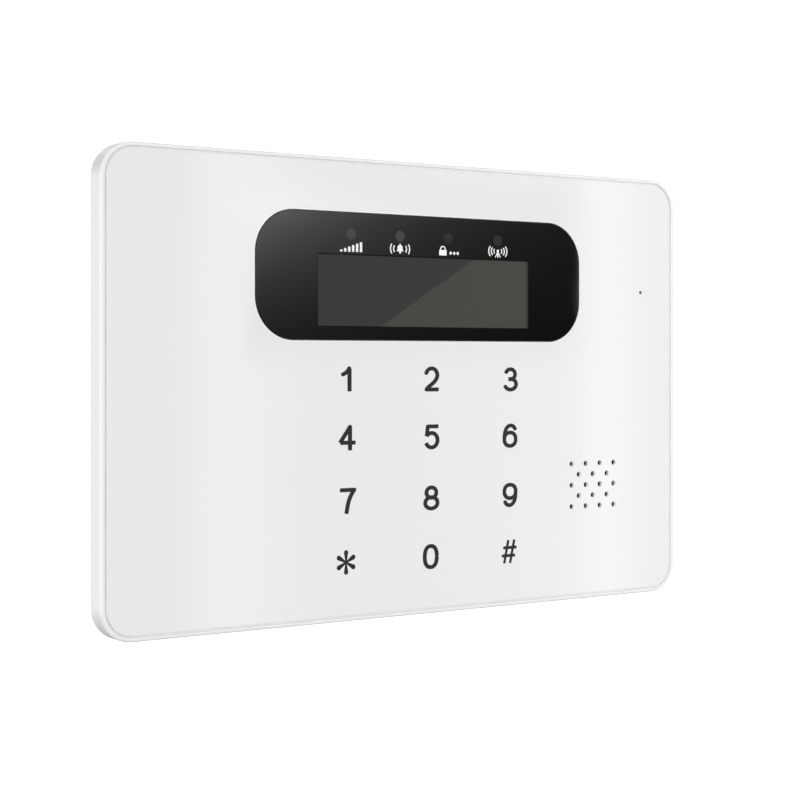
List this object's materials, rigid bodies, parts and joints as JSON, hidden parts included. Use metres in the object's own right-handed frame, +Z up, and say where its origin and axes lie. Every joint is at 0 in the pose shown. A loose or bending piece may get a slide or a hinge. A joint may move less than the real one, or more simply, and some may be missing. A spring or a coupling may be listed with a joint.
{
  "type": "alarm keypad panel",
  "caption": "Slim wall-mounted alarm control panel with a flush touch keypad, dark display window, speaker grille, rear housing and lift-off wall bracket.",
  "frame": {"origin": "centre of the wall bracket's flat rear face, on the wall plane", "axes": "+Z up, +Y into the wall so that the front faces -Y, +X to the right of a person facing the panel"},
  "size_m": [0.187, 0.022, 0.1224],
  "materials": {
    "shell_plastic": "moulded white ABS, semi-gloss",
    "touch_plate_gloss": "white touch plate, high gloss, printed digits",
    "housing_plastic": "moulded white ABS, fine spark texture",
    "bracket_plastic": "moulded white ABS, fine spark texture",
    "smoked_bezel": "glossy black acrylic, back-printed",
    "lcd_glass": "dark liquid crystal glass, switched off",
    "milky_plastic": "milky light guide",
    "led_epoxy": "diffused epoxy, unlit",
    "black_plastic": "moulded black plastic",
    "black_rubber": "soft black rubber",
    "circuit_board": "green solder mask over copper tracks",
    "flex_circuit": "amber polyimide flexible circuit",
    "shield_can": "tinned steel sheet",
    "steel": "nickel-plated steel",
    "spring_steel": "bright spring wire",
    "screw_steel": "zinc-plated screw steel",
    "copper_wire": "bare copper wire",
    "cone_paper": "black pressed cone",
    "battery_wrap": "blue shrink wrap",
    "cable_red": "red wire insulation",
    "cable_black": "black coaxial lead",
    "terminal_plastic": "green terminal plastic",
    "card_plastic": "white card with gold contacts",
    "plunger_plastic": "white acetal"
  },
  "bodies": {
    "bracket": {"wall_bracket": "bracket_plastic"},
    "panel": {"front_shell": "shell_plastic", "touch_plate": "touch_plate_gloss", "display_bezel": "smoked_bezel", "display_holder": "black_plastic", "lcd_glass": "lcd_glass", "lcd_backlight": "milky_plastic", "lcd_ribbon": "flex_circuit", "touch_board": "circuit_board", "touch_ribbon": "flex_circuit", "main_board": "circuit_board", "gsm_module": "shield_can", "gsm_antenna": "flex_circuit", "gsm_antenna_lead": "cable_black", "radio_board": "circuit_board", "radio_antenna": "copper_wire", "sim_holder": "shield_can", "battery_pack": "battery_wrap", "battery_lead": "cable_red", "speaker_frame": "steel", "speaker_magnet": "steel", "speaker_gasket": "black_rubber", "speaker_lead": "cable_red", "microphone": "steel", "microphone_boot": "black_rubber", "dc_socket": "black_plastic", "terminal_block": "terminal_plastic", "power_switch_body": "steel", "tamper_switch_body": "black_plastic", "tamper_spring": "spring_steel", "rear_housing": "housing_plastic", "status_led_1": "led_epoxy", "case_screw_1": "screw_steel", "board_screw_1": "screw_steel", "status_led_2": "led_epoxy", "case_screw_2": "screw_steel", "board_screw_2": "screw_steel", "status_led_3": "led_epoxy", "case_screw_3": "screw_steel", "board_screw_3": "screw_steel", "status_led_4": "led_epoxy", "case_screw_4": "screw_steel", "board_screw_4": "screw_steel"},
    "power_switch": {"power_switch_slider": "black_plastic"},
    "tamper_button": {"tamper_plunger": "plunger_plastic"},
    "sim": {"sim_card": "card_plastic"},
    "speaker_diaphragm": {"speaker_cone": "cone_paper"}
  },
  "joints": [
    {"name": "panel_lift", "type": "slide", "parent": "bracket", "child": "panel", "axis": [0, 0, 1], "range_m": [0, 0.006]},
    {"name": "power_switch_slide", "type": "slide", "parent": "panel", "child": "power_switch", "axis": [1, 0, 0], "range_m": [0, 0.003]},
    {"name": "sim_card_slide", "type": "slide", "parent": "panel", "child": "sim", "axis": [1, 0, 0], "range_m": [0, 0.018]},
    {"name": "tamper_press", "type": "slide", "parent": "panel", "child": "tamper_button", "axis": [0, -1, 0], "range_m": [0, 0.0015], "stiffness_N_per_m": 150, "deforming": ["tamper_spring"]},
    {"name": "speaker_cone_travel", "type": "slide", "parent": "panel", "child": "speaker_diaphragm", "axis": [0, 1, 0], "range_m": [-0.0004, 0.0004], "stiffness_N_per_m": 400}
  ]
}
